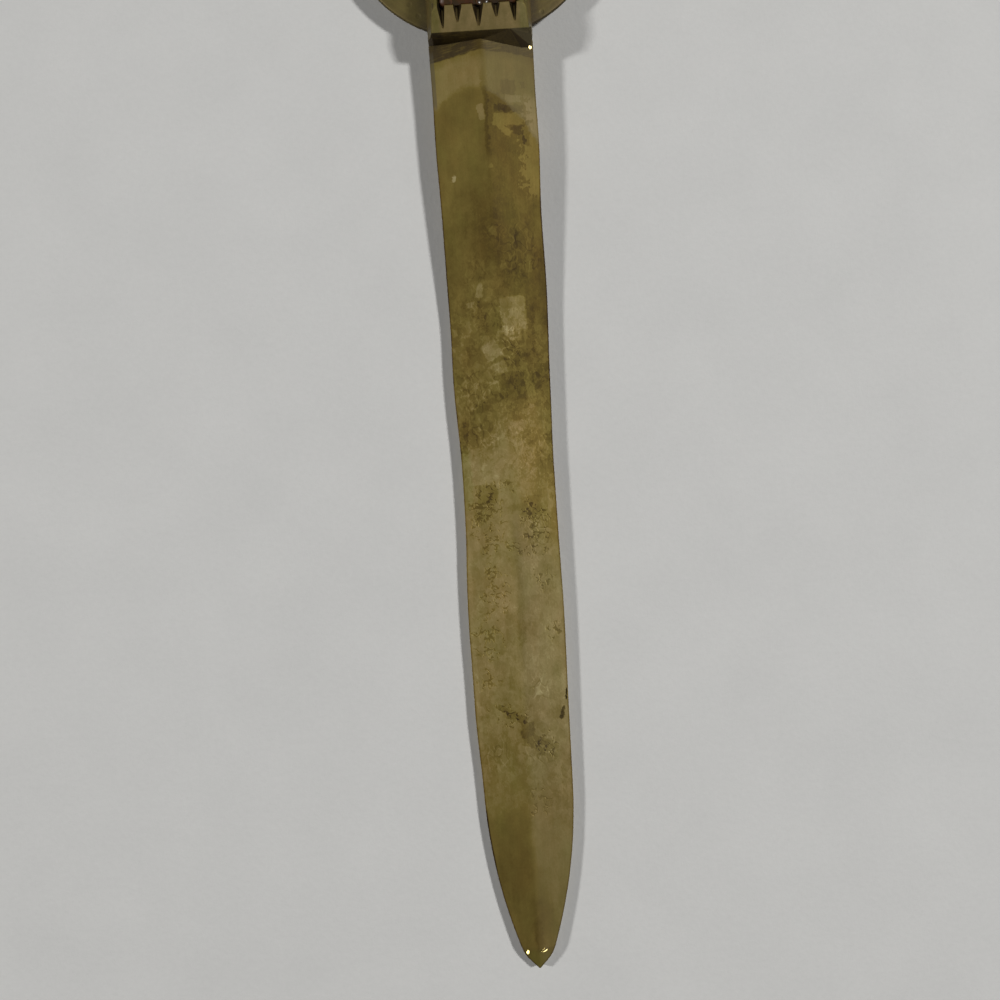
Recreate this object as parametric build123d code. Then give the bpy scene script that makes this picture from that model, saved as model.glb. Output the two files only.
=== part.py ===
from build123d import *

import os
from math import radians, tan

# Brass letter opener with a round handle and a dark stone held by a toothed setting.
# Sizes are in millimetres and degrees. It lies on its flat back, on the desk at Z = 0.
# +Y runs from the blade's tip to the head of the handle, and +Z is up.
# The origin is the centre of the handle's round back.

# Handle: a cast disc, widest at its thin rim, that rises to a flat top, and a plate let into its back
DISC_DIAMETER = 41.2
TOP_DIAMETER = 12.0
BACK_DIAMETER = 37.0
RIM_HEIGHT = 3.3
RIM_EDGE = 0.7
CROWN_HEIGHT = 5.7
RIM_WALL = 1.2
PLATE_THICKNESS = 1.0

# Blade: flat underneath, with a low ridge above, thick along its shank and ground at its point
BLADE_LENGTH = 142.6
ROOT_WIDTH = 16.5
BELLY_WIDTH = 14.4
NARROWING_LENGTH = 66.0
SHOULDER_WIDTH = 13.6
POINT_LENGTH = 26.5
GRIND_LENGTH = 3.4
GRIND_WIDTH = 5.0
GRIND_CENTRE = 2.75
TIP_THICKNESS = 1.5
ROOT_RIDGE = 5.4
ROOT_SLOPE = 10.0
SHANK_LENGTH = 25.0
SHANK_RIDGE = 4.1
SHANK_SLOPE = 6.0
RAMP_LENGTH = 16.5
BELLY_RIDGE = 2.3
BELLY_SLOPE = 2.2
TIP_RIDGE = 1.9
TIP_SLOPE = 6.5
UNDER_BEVEL = 0.85

# Tang: the blade's narrow end, hidden in the handle
TANG_WIDTH = 9.0
TANG_THICKNESS = 1.8
TANG_MARGIN = 4.5

# Setting: a strap across the disc that hooks over the rim and takes the blade's root
HOOK_REACH = 1.3
SETTING_HEIGHT = 8.4
BAND_FOOT = 7.0
WALL_LEAN = 0.4
TOOTH_THICKNESS = 0.4
RAIL_WIDTH = 2.15
RAIL_CHAMFER = 0.45
CORNER_CHAMFER = 0.8
FLOOR_THICKNESS = 0.6

# Teeth: file cuts in both end walls of the setting, every second one deep
CUT_COUNT = 5
CUT_ANGLE = 62.0
DEEP_CUT = 1.25
SHALLOW_CUT = 0.7

# Stone and its bed
END_WALL = 4.0
POCKET_CORNER = 0.8
BED_THICKNESS = 0.4
STONE_GIRDLE = 1.1
STONE_CROWN = 1.4

# Rivets through plate, tang, disc and setting
RIVET_DIAMETER = 2.4
RIVET_HEAD = 3.6
RIVET_HEAD_HEIGHT = 0.5
RIVET_SPACING = 24.0

# Running gap between pieces that slip into each other
FIT = 0.05

# Places that follow from the sizes
DISC_RADIUS = DISC_DIAMETER / 2
SETTING_END = DISC_RADIUS + HOOK_REACH
ROOT_Y = -SETTING_END
TIP_Y = ROOT_Y - BLADE_LENGTH
FLOOR_TOP = CROWN_HEIGHT + FLOOR_THICKNESS
BED_TOP = FLOOR_TOP + BED_THICKNESS
POCKET_WIDTH = ROOT_WIDTH - 2 * RAIL_WIDTH
POCKET_LENGTH = 2 * (SETTING_END - END_WALL)
RIVET_PLACES = {"lower_rivet": -RIVET_SPACING / 2, "upper_rivet": RIVET_SPACING / 2}


def upright(sketch, y=0.0):
    """The sketch stood up in the XZ plane at this Y, facing the tip."""
    return Plane(origin=(0, y, 0), x_dir=(1, 0, 0), z_dir=(0, -1, 0)) * sketch


def disc_body(gap=0.0):
    """The round disc before anything is cut: bevelled back, coned front and flat top, grown by a gap."""
    top = CROWN_HEIGHT + gap
    rim = DISC_RADIUS + gap
    profile = Polyline(
        (0, 0),
        (BACK_DIAMETER / 2 + gap, 0),
        (rim, RIM_HEIGHT - RIM_EDGE),
        (rim, RIM_HEIGHT + gap),
        (TOP_DIAMETER / 2, top),
        (0, top),
        close=True,
    )
    return revolve(upright(make_face(profile)), Axis.Z)


def tang(gap=0.0):
    """The tang with its round end, grown by a gap where something has to pass it."""
    width = TANG_WIDTH + 2 * gap
    end = RIVET_SPACING / 2 + TANG_MARGIN + gap
    plan = make_face(
        [
            Polyline(
                (-width / 2, end - width / 2),
                (-width / 2, ROOT_Y),
                (width / 2, ROOT_Y),
                (width / 2, end - width / 2),
            ),
            ThreePointArc(
                (width / 2, end - width / 2), (0, end), (-width / 2, end - width / 2)
            ),
        ]
    )
    return Pos(Z=PLATE_THICKNESS - gap) * extrude(plan, TANG_THICKNESS + 2 * gap)


def rivet(y, gap=0.0):
    """A rivet with a countersunk head at each end, grown by a gap to make its hole."""
    shank = RIVET_DIAMETER / 2 + gap
    head = RIVET_HEAD / 2 + gap
    profile = Polyline(
        (0, 0),
        (head, 0),
        (shank, RIVET_HEAD_HEIGHT),
        (shank, FLOOR_TOP - RIVET_HEAD_HEIGHT),
        (head, FLOOR_TOP),
        (0, FLOOR_TOP),
        close=True,
    )
    return Pos(Y=y) * revolve(upright(make_face(profile)), Axis.Z)


def drilled(piece):
    """The piece with its rivet holes."""
    for y in RIVET_PLACES.values():
        piece -= rivet(y, FIT)
    return piece


def blade_outline():
    """The blade seen from above: it narrows straight to its belly, then curves in to the ground point."""
    root = (ROOT_WIDTH / 2, ROOT_Y)
    belly = (BELLY_WIDTH / 2, ROOT_Y - NARROWING_LENGTH)
    shoulder = (SHOULDER_WIDTH / 2, TIP_Y + POINT_LENGTH)
    grind = (GRIND_WIDTH / 2, TIP_Y + GRIND_LENGTH)
    to_root = Line(belly, root)
    to_shoulder = TangentArc(belly, shoulder, tangent=(0, -1))
    to_grind = TangentArc(shoulder, grind, tangent=to_shoulder % 1)
    side = [to_root, to_shoulder, to_grind, Line(grind, (0, TIP_Y))]
    other_side = [mirror(edge, Plane.YZ) for edge in side]
    return make_face([*side, *other_side, Line(root, (-ROOT_WIDTH / 2, ROOT_Y))])


def ridge_section(y, ridge, slope):
    """A roof-shaped section across the blade, wider than the blade itself."""
    half = ROOT_WIDTH / 2 + UNDER_BEVEL
    eave = ridge - half * tan(radians(slope))
    roof = Polyline((-half, 0), (half, 0), (half, eave), (0, ridge), (-half, eave), close=True)
    return upright(make_face(roof), y)


def ground_plane(side):
    """The plane ground on one side of the point, from a crease across the blade down to the tip."""
    half = GRIND_WIDTH / 2
    edge_height = TIP_RIDGE - half * tan(radians(TIP_SLOPE))
    tip = Vector(0, TIP_Y, TIP_THICKNESS)
    to_ridge = Vector(0, TIP_Y + GRIND_CENTRE, TIP_RIDGE) - tip
    to_edge = Vector(side * half, TIP_Y + GRIND_LENGTH, edge_height) - tip
    return Plane(origin=tip, z_dir=to_edge.cross(to_ridge) * side)


def make_blade():
    """The outline given its ridge, bevelled underneath, ground at the point, and run on as the tang."""
    ridged = loft(
        [
            ridge_section(ROOT_Y, ROOT_RIDGE, ROOT_SLOPE),
            ridge_section(ROOT_Y - SHANK_LENGTH, SHANK_RIDGE, SHANK_SLOPE),
            ridge_section(ROOT_Y - SHANK_LENGTH - RAMP_LENGTH, BELLY_RIDGE, BELLY_SLOPE),
            ridge_section(TIP_Y, TIP_RIDGE, TIP_SLOPE),
        ],
        ruled=True,
    )
    blade = extrude(blade_outline(), ROOT_RIDGE) & ridged
    under_edges = blade.faces().sort_by(Axis.Z)[0].edges()
    root_edge = under_edges.sort_by(Axis.Y)[-1]
    blade = chamfer([edge for edge in under_edges if edge != root_edge], UNDER_BEVEL)
    for side in (-1, 1):
        blade = split(blade, bisect_by=ground_plane(side), keep=Keep.BOTTOM)
    return drilled(blade + tang())


def make_setting():
    """A block shaped from the side, the end and above, fitted over the disc and cut for the stone."""
    half_width = ROOT_WIDTH / 2
    tooth_y = SETTING_END - END_WALL + TOOTH_THICKNESS
    half_profile = [
        (SETTING_END, 0),
        (SETTING_END, ROOT_RIDGE),
        (SETTING_END - WALL_LEAN, BAND_FOOT),
        (tooth_y, SETTING_HEIGHT),
    ]
    other_half = [(-y, z) for y, z in reversed(half_profile)]
    from_side = make_face(Polyline(*half_profile, *other_half, close=True))
    shoulder = SETTING_HEIGHT - RAIL_CHAMFER
    from_end = make_face(
        Polyline(
            (-half_width, 0),
            (half_width, 0),
            (half_width, shoulder),
            (half_width - RAIL_CHAMFER, SETTING_HEIGHT),
            (RAIL_CHAMFER - half_width, SETTING_HEIGHT),
            (-half_width, shoulder),
            close=True,
        )
    )
    plan = Rectangle(ROOT_WIDTH, 2 * SETTING_END)
    plan = chamfer(plan.vertices(), CORNER_CHAMFER)
    setting = extrude(Plane.YZ * from_side, half_width, both=True)
    setting &= extrude(upright(from_end), SETTING_END, both=True)
    setting &= extrude(plan, SETTING_HEIGHT)
    setting -= disc_body(FIT) + extrude(Circle(DISC_RADIUS + FIT), RIM_HEIGHT)
    setting -= Pos(Z=FLOOR_TOP) * pocket(SETTING_HEIGHT)
    setting -= tooth_cuts()
    return drilled(setting - tang(FIT))


def pocket(height, gap=0.0):
    """The stone's pocket, or what fills it with a gap all round."""
    plan = RectangleRounded(POCKET_WIDTH - 2 * gap, POCKET_LENGTH - 2 * gap, POCKET_CORNER)
    return extrude(plan, height)


def tooth_cuts():
    """The V cuts through both end walls, deep and shallow by turns."""
    spread = tan(radians(CUT_ANGLE / 2))
    deep_half = DEEP_CUT * spread
    pitch = (POCKET_WIDTH - 2 * deep_half) / (CUT_COUNT - 1)
    over = SETTING_HEIGHT + DEEP_CUT
    cuts = Part()
    for i in range(CUT_COUNT):
        x = (i - (CUT_COUNT - 1) / 2) * pitch
        foot = SETTING_HEIGHT - (SHALLOW_CUT if i % 2 else DEEP_CUT)
        half = (over - foot) * spread
        vee = Polyline((x, foot), (x + half, over), (x - half, over), close=True)
        cuts += extrude(upright(make_face(vee)), SETTING_END, both=True)
    return cuts


def make_stone():
    """A long cushion, arched across its width and rounded down at both ends."""
    half_width = POCKET_WIDTH / 2 - FIT
    half_length = POCKET_LENGTH / 2 - FIT
    top = STONE_GIRDLE + STONE_CROWN
    across = make_face(
        [
            Polyline(
                (half_width, STONE_GIRDLE),
                (half_width, 0),
                (-half_width, 0),
                (-half_width, STONE_GIRDLE),
            ),
            ThreePointArc((-half_width, STONE_GIRDLE), (0, top), (half_width, STONE_GIRDLE)),
        ]
    )
    flat_end = half_length - half_width
    along = make_face(
        [
            TangentArc((flat_end, top), (half_length, STONE_GIRDLE), tangent=(1, 0)),
            Polyline(
                (half_length, STONE_GIRDLE),
                (half_length, 0),
                (-half_length, 0),
                (-half_length, STONE_GIRDLE),
            ),
            TangentArc((-flat_end, top), (-half_length, STONE_GIRDLE), tangent=(-1, 0)),
            Line((-flat_end, top), (flat_end, top)),
        ]
    )
    stone = pocket(top, FIT)
    stone &= extrude(upright(across), half_length, both=True)
    stone &= extrude(Plane.YZ * along, half_width, both=True)
    return Pos(Z=BED_TOP) * stone


def make_handle_disc():
    """The disc with the plate's recess and the tang's channel in its back."""
    disc = disc_body() - extrude(Circle(BACK_DIAMETER / 2 - RIM_WALL), PLATE_THICKNESS)
    return drilled(disc - tang(FIT))


def make_back_plate():
    """The flat plate that closes the disc's back."""
    plate = extrude(Circle(BACK_DIAMETER / 2 - RIM_WALL - FIT), PLATE_THICKNESS)
    return drilled(plate)


pieces = {
    "blade": make_blade(),
    "stone_setting": make_setting(),
    "stone": make_stone(),
    "stone_bed": Pos(Z=FLOOR_TOP) * pocket(BED_THICKNESS, FIT),
    "handle_disc": make_handle_disc(),
    "back_plate": make_back_plate(),
}
for name, place in RIVET_PLACES.items():
    pieces[name] = rivet(place)

os.makedirs("parts", exist_ok=True)
for name, piece in pieces.items():
    export_step(piece, f"parts/{name}.step")
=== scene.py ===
from math import asin, cos, radians, sin, sqrt, tan

import bmesh
import bpy
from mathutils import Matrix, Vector


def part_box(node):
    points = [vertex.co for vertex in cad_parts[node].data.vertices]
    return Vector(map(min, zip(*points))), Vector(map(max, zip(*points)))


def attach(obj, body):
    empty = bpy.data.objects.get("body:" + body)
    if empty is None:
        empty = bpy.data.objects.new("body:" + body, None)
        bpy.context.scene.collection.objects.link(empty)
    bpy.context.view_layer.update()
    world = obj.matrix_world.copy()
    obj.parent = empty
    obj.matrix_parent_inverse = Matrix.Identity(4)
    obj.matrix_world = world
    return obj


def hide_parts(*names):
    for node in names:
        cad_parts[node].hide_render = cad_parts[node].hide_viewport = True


# Aged brass letter opener with a dark stone in a toothed setting, lying on pale paper under two lamps.
# Pieces are modelled in millimetres and resized to metres when they are done.

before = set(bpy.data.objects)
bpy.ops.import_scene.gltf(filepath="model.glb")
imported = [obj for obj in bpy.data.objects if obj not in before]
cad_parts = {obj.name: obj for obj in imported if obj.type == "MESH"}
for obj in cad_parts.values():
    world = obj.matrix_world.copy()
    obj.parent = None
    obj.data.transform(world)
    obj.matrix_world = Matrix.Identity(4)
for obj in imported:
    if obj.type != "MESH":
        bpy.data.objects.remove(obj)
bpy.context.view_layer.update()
MM = 0.001


def node_box(node):
    """A CAD node's lowest and highest corner, in millimetres."""
    low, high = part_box(node)
    return low / MM, high / MM


# Sizes read from the frame
blade_low, blade_high = node_box("blade")
setting_low, setting_high = node_box("stone_setting")
_, disc_high = node_box("handle_disc")
_, plate_high = node_box("back_plate")
stone_low, stone_high = node_box("stone")
TIP_Y = blade_low.y
TANG_END = blade_high.y
SETTING_END = setting_high.y
ROOT_Y = -SETTING_END
BLADE_LENGTH = ROOT_Y - TIP_Y
ROOT_WIDTH = setting_high.x - setting_low.x
SETTING_HEIGHT = setting_high.z
DISC_RADIUS = disc_high.x
CROWN_HEIGHT = disc_high.z
PLATE_RADIUS = plate_high.x
PLATE_THICKNESS = plate_high.z
POCKET_GAP = 0.05
POCKET_HALF_WIDTH = stone_high.x + POCKET_GAP
POCKET_HALF_LENGTH = stone_high.y + POCKET_GAP

# Camera and lamps, in millimetres and degrees: side, power in watts and elevation of each lamp
CAMERA_PLACE = Vector((-2.22, -104.66, 156.02))
CAMERA_TILT = 4.0
CAMERA_TURN = -3.65
LAMPS = {"right_lamp": (1, 10.15, 48.8), "left_lamp": (-1, 7.45, 38.0)}
LAMP_DISTANCE = 1200.0
LAMP_Y = 60.0
LAMP_AIM = Vector((0, -200, 0))


def lamp_place(name):
    side, _, elevation = LAMPS[name]
    lift = radians(elevation)
    return Vector((side * LAMP_DISTANCE * cos(lift), LAMP_Y, LAMP_DISTANCE * sin(lift)))


# Blade
BELLY_WIDTH = 14.4
NARROWING_LENGTH = 66.0
SHOULDER_WIDTH = 13.6
POINT_LENGTH = 26.5
GRIND_LENGTH = 3.4
GRIND_WIDTH = 5.0
GRIND_CENTRE = 2.75
TIP_THICKNESS = 1.5
TIP_WIDTH = 0.24
TIP_CORNER = 2.0
TIP_CORNER_WIDTH = 4.25
ROOT_RIDGE = 5.4
ROOT_SLOPE = 10.0
SHANK_LENGTH = 25.0
SHANK_RIDGE = 4.1
SHANK_SLOPE = 6.0
RAMP_START = 21.5
RAMP_RUN = 23.5
BELLY_RIDGE = 2.3
BELLY_SLOPE = 2.2
TIP_RIDGE = 1.9
TIP_SLOPE = 6.5
UNDER_BEVEL = 0.85
STATIONS = 52
STATION_CROWDING = 1.3
WAVINESS = 0.07
WAVE_SIZE = 7.0
WEAR_ROOT_GAP = 18.0
WEAR_ROOT_RUN = 22.0
WEAR_TIP_GAP = 22.0
WEAR_TIP_RUN = 26.0
TANG_WIDTH = 9.0
TANG_TOP = 2.8
TANG_STEP = 0.3

# Setting
WALL_LEAN = 0.4
BAND_FOOT = 7.0
TOOTH_THICKNESS = 0.4
TOOTH_TOP_Y = POCKET_HALF_LENGTH + TOOTH_THICKNESS
RAIL_CHAMFER = 0.45
CORNER_CHAMFER = 0.8
SIDE_LEAN = 1.0
SIDE_LEAN_FOOT = 4.2
FLOOR_TOP = 6.3

# Disc
BACK_RADIUS = 18.5
RIM_LOW = 2.6
RIM_HIGH = 3.3
DOME_RINGS = 18
DOME_CURVE = 1.7
ROUND_SEGMENTS = 160

# Edges flatter than this many degrees are shaded smooth
SMOOTH_ANGLE = 40.0


# Modelling helpers


def edit_mode():
    bpy.ops.object.mode_set(mode="EDIT")


def object_mode():
    bpy.ops.object.mode_set(mode="OBJECT")


def extrude(offset):
    """Extrudes the selected faces."""
    bpy.ops.mesh.extrude_region_move(TRANSFORM_OT_translate={"value": offset})


def shift(offset):
    """Moves what is selected in edit mode."""
    bpy.ops.transform.translate(value=offset)


def stretch(factors, centre=(0, 0, 0)):
    """Resizes what is selected in edit mode about a centre."""
    bpy.ops.transform.resize(value=factors, center_override=centre)


def rescale(piece, factor):
    """Makes a piece's mesh larger or smaller."""
    bpy.ops.object.select_all(action="DESELECT")
    piece.select_set(True)
    bpy.context.view_layer.objects.active = piece
    piece.scale = (factor, factor, factor)
    bpy.ops.object.transform_apply(location=False, rotation=False, scale=True)


def start_box(name, low, high):
    """A cube primitive that fills a box, left in edit mode."""
    low = Vector(low)
    high = Vector(high)
    bpy.ops.object.select_all(action="DESELECT")
    bpy.ops.mesh.primitive_cube_add(size=1, location=(low + high) / 2, scale=high - low)
    return open_for_editing(name)


def start_cylinder(name, radius, low, high):
    """A cylinder primitive about the Z axis, left in edit mode."""
    bpy.ops.object.select_all(action="DESELECT")
    bpy.ops.mesh.primitive_cylinder_add(
        vertices=ROUND_SEGMENTS, radius=radius, depth=high - low, location=(0, 0, (low + high) / 2)
    )
    return open_for_editing(name)


def start_bead(name, place, half_sizes, turn=0.0):
    """A ball primitive stretched to these half sizes and turned about Z, left in object mode."""
    bpy.ops.object.select_all(action="DESELECT")
    bpy.ops.mesh.primitive_uv_sphere_add(
        segments=24,
        ring_count=16,
        radius=1,
        location=place,
        rotation=(0, 0, radians(turn)),
        scale=half_sizes,
    )
    piece = open_for_editing(name)
    object_mode()
    return piece


def open_for_editing(name):
    """Names the new primitive, applies its place to its mesh and enters edit mode."""
    piece = bpy.context.object
    piece.name = name
    piece.data.name = name
    bpy.ops.object.transform_apply(location=True, rotation=True, scale=True)
    edit_mode()
    return piece


def select(piece, kind, test):
    """Selects the points, edges or faces that pass the test."""
    bpy.ops.mesh.select_mode(type=kind)
    bpy.ops.mesh.select_all(action="DESELECT")
    mesh = bmesh.from_edit_mesh(piece.data)
    mesh.normal_update()
    choices = {"VERT": mesh.verts, "EDGE": mesh.edges, "FACE": mesh.faces}
    for element in choices[kind]:
        element.select = bool(test(element))
    mesh.select_flush_mode()
    bmesh.update_edit_mesh(piece.data)


def select_points(piece, test):
    """Selects the points whose place passes the test."""
    select(piece, "VERT", lambda point: test(point.co))


def select_edges(piece, test):
    """Selects the edges whose two ends pass the test."""
    select(piece, "EDGE", lambda edge: test(edge.verts[0].co, edge.verts[1].co))


def select_faces(piece, test):
    """Selects the faces whose middle and normal pass the test."""
    select(piece, "FACE", lambda face: test(face.calc_center_median(), face.normal))


def slice_off(place, normal):
    """Cuts away what lies on the normal's side of a plane and closes the cut."""
    bpy.ops.mesh.select_all(action="SELECT")
    bpy.ops.mesh.bisect(
        plane_co=place, plane_no=normal.normalized(), use_fill=True, clear_outer=True, threshold=0.0001
    )


def apply_modifier(piece, kind, **settings):
    """Adds a modifier with these settings and applies it."""
    modifier = piece.modifiers.new(kind.lower(), kind)
    for setting, value in settings.items():
        setattr(modifier, setting, value)
    bpy.context.view_layer.objects.active = piece
    bpy.ops.object.modifier_apply(modifier=modifier.name)


def combine(piece, other, operation):
    """Cuts another shape out of the piece or joins it on, and removes the other shape."""
    apply_modifier(piece, "BOOLEAN", operation=operation, solver="MANIFOLD", object=other)
    bpy.data.objects.remove(other)


def soften_edges(piece, width, segments=2, angle=30.0):
    """Rounds every edge that is sharper than the angle."""
    apply_modifier(
        piece,
        "BEVEL",
        width=width,
        segments=segments,
        limit_method="ANGLE",
        angle_limit=radians(angle),
        use_clamp_overlap=True,
        loop_slide=True,
    )


def make_wavy(piece, depth, size):
    """Presses shallow waves into a surface, as casting and filing by hand leave them."""
    waves = bpy.data.textures.new(piece.name + "_waves", "CLOUDS")
    waves.noise_scale = size
    waves.noise_depth = 1
    apply_modifier(
        piece, "DISPLACE", texture=waves, texture_coords="LOCAL", strength=depth, mid_level=1.0
    )


def finish_piece(piece, node, material):
    """Resizes a piece to metres, shades it, and puts it in the place of its CAD node."""
    rescale(piece, MM)
    bpy.ops.object.shade_smooth_by_angle(angle=radians(SMOOTH_ANGLE))
    apply_modifier(piece, "WEIGHTED_NORMAL", keep_sharp=True)
    piece.data.materials.clear()
    piece.data.materials.append(material)
    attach(piece, "root")
    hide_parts(node)


# Blade outline and heights


def blend(start, end, share):
    return start + (end - start) * share


def ease(value):
    """Goes from 0 to 1 with a soft start and end."""
    value = max(0.0, min(1.0, value))
    return value * value * (3 - 2 * value)


def bow(along, length, offset):
    """How far an arc has left its tangent after going along it, if it leaves by offset at length."""
    radius = (length**2 + offset**2) / (2 * offset)
    return radius - sqrt(radius**2 - along**2)


# Where hand filing has left the edges inside or outside their line: place along the blade, reach,
# and how far the left and the right edge lie outside
FILED = (
    (-39.0, 9.0, 0.14, 0.22),
    (-62.0, 14.0, 0.06, 0.32),
    (-76.0, 10.0, 0.26, 0.1),
    (-92.0, 12.0, -0.12, -0.02),
    (-112.0, 14.0, 0.45, 0.14),
    (-126.0, 14.0, 0.42, 0.0),
)


def filed_offsets(y):
    """How far the left and the right edge lie outside their line."""
    left = 0.0
    right = 0.0
    for place, reach, left_offset, right_offset in FILED:
        share = ease(1 - abs(y - place) / reach)
        left += left_offset * share
        right += right_offset * share
    return left, right


def middle_x(y):
    """How far filing has moved the middle of the blade to the right."""
    left, right = filed_offsets(y)
    return (right - left) / 2


def half_width(y):
    """Half the blade's width at a place along it, from the root's curve to the ground point."""
    belly_y = ROOT_Y - NARROWING_LENGTH
    shoulder_y = TIP_Y + POINT_LENGTH
    corner_y = TIP_Y + TIP_CORNER
    filed = sum(filed_offsets(y)) / 2
    if y > belly_y:
        return blend(BELLY_WIDTH, ROOT_WIDTH, (y - belly_y) / NARROWING_LENGTH) / 2 + filed
    taper = (BELLY_WIDTH - SHOULDER_WIDTH) / 2
    taper_length = belly_y - shoulder_y
    if y > shoulder_y:
        return BELLY_WIDTH / 2 - bow(belly_y - y, taper_length, taper) + filed
    if y > corner_y:
        turn = asin(2 * taper * taper_length / (taper_length**2 + taper**2))
        inward = (SHOULDER_WIDTH - TIP_CORNER_WIDTH) / 2
        down = shoulder_y - corner_y
        radius = (inward**2 + down**2) / (2 * (inward * cos(turn) - down * sin(turn)))
        centre_x = SHOULDER_WIDTH / 2 - radius * cos(turn)
        centre_y = shoulder_y + radius * sin(turn)
        return centre_x + sqrt(radius**2 - (y - centre_y) ** 2)
    return blend(TIP_WIDTH, TIP_CORNER_WIDTH, (y - TIP_Y) / TIP_CORNER) / 2


def along_shank(y, root, shank, belly):
    """A value that goes evenly from root to shank and then eases down the ramp to the belly's."""
    along = ROOT_Y - y
    before_ramp = blend(root, shank, min(1.0, along / SHANK_LENGTH))
    return blend(before_ramp, belly, ease((along - RAMP_START) / RAMP_RUN))


def towards_tip(y):
    """The change from the belly to the tip, 0 along the shank and 1 at the tip, slow at first."""
    shank_end = ROOT_Y - SHANK_LENGTH
    return max(0.0, (shank_end - y) / (shank_end - TIP_Y)) ** 2


def ridge_height(y):
    belly_ridge = blend(BELLY_RIDGE, TIP_RIDGE, towards_tip(y))
    return along_shank(y, ROOT_RIDGE, SHANK_RIDGE, belly_ridge)


def edge_height(y):
    belly_slope = blend(BELLY_SLOPE, TIP_SLOPE, towards_tip(y))
    slope = along_shank(y, ROOT_SLOPE, SHANK_SLOPE, belly_slope)
    return ridge_height(y) - half_width(y) * tan(radians(slope))


def ridge_wear(y):
    """How far the ridge is rubbed down: not at the root or the tip, most along the middle."""
    from_root = (ROOT_Y - y - WEAR_ROOT_GAP) / WEAR_ROOT_RUN
    from_tip = (y - TIP_Y - WEAR_TIP_GAP) / WEAR_TIP_RUN
    return max(0.0, min(1.0, from_root, from_tip))


def blade_stations():
    """Places of the rings of points along the blade, closer together towards the tip."""
    places = [TIP_Y + BLADE_LENGTH * (i / STATIONS) ** STATION_CROWDING for i in range(STATIONS + 1)]
    corner_y = TIP_Y + TIP_CORNER
    nearest = min(range(STATIONS), key=lambda i: abs(places[i] - corner_y))
    places[nearest] = corner_y
    return places


# Nicks in the right edge: place, half sizes and turn about Z
NICKS = (
    ((6.1, -126.3, 1.88), (0.2, 0.46, 0.35), -22),
    ((5.95, -126.95, 1.9), (0.26, 0.5, 0.4), 4),
    ((5.75, -127.5, 1.9), (0.3, 0.32, 0.4), -35),
    ((6.72, -123.8, 1.72), (0.1, 0.6, 0.3), -7),
    ((6.64, -124.6, 1.72), (0.12, 0.36, 0.3), 8),
)
# Raised marks, rubbed flat so that they mirror one lamp: the same, and the lamp
RAISED = (
    ((-1.66, -161.93, 1.6), (0.23, 0.37, 0.35), 9, "left_lamp"),
    ((0.77, -161.8, 1.79), (0.72, 0.22, 0.3), 25, "right_lamp"),
    ((7.7, -23.1, 4.0), (0.28, 0.3, 0.34), 0, "right_lamp"),
)
RUBBED_OFF = 0.13


def make_blade(material):
    """A bar with a ridge, drawn out ring by ring, then rounded, ground at its point and marked."""
    half = ROOT_WIDTH / 2
    piece = start_box("blade_bar", (-half, TIP_Y, 0), (half, ROOT_Y, ROOT_RIDGE))
    select_edges(piece, lambda a, b: abs(a.y - b.y) > 1 and max(a.z, b.z) < 0.01)
    bpy.ops.mesh.bevel(offset=UNDER_BEVEL, segments=2, affect="EDGES")
    select_edges(piece, lambda a, b: abs(a.y - b.y) > 1)
    bpy.ops.mesh.subdivide(number_cuts=STATIONS - 1)
    select_edges(piece, lambda a, b: abs(a.x - b.x) > half)
    bpy.ops.mesh.subdivide(number_cuts=3)
    pitch = BLADE_LENGTH / STATIONS
    for i, y in enumerate(blade_stations()):
        shape_ring(piece, TIP_Y + i * pitch, pitch / 4, y)
    crease_long_edges(piece)
    object_mode()
    apply_modifier(piece, "SUBSURF", levels=3, render_levels=3)
    make_wavy(piece, WAVINESS, WAVE_SIZE)
    grind_point(piece)
    draw_out_tang(piece)
    object_mode()
    for place, half_sizes, turn in NICKS:
        combine(piece, start_bead("nick", place, half_sizes, turn), "DIFFERENCE")
    for place, half_sizes, turn, lamp in RAISED:
        to_lamp = (lamp_place(lamp) - Vector(place)).normalized()
        to_camera = (CAMERA_PLACE - Vector(place)).normalized()
        facing = (to_lamp + to_camera).normalized()
        bead = start_bead("bead", place, half_sizes, turn)
        edit_mode()
        slice_off(Vector(place) + facing * RUBBED_OFF, facing)
        object_mode()
        combine(piece, bead, "UNION")
    mark_edge_distance(piece)
    finish_piece(piece, "blade", material)


def shape_ring(piece, ring_y, reach, y):
    """Gives one ring of the bar its width and its roof-shaped top, and moves it to its place."""
    in_ring = lambda point: abs(point.y - ring_y) < reach
    select_points(piece, in_ring)
    stretch((half_width(y) * 2 / ROOT_WIDTH, 1, 1))
    for column in (0, 0.5, 1):
        place = half_width(y) * column
        near = half_width(y) / 8
        select_points(piece, lambda p: in_ring(p) and p.z > 1 and abs(abs(p.x) - place) < near)
        height = blend(ridge_height(y), edge_height(y), column)
        shift((0, 0, height - ROOT_RIDGE))
    select_points(piece, in_ring)
    shift((middle_x(y), y - ring_y, 0))


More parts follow.
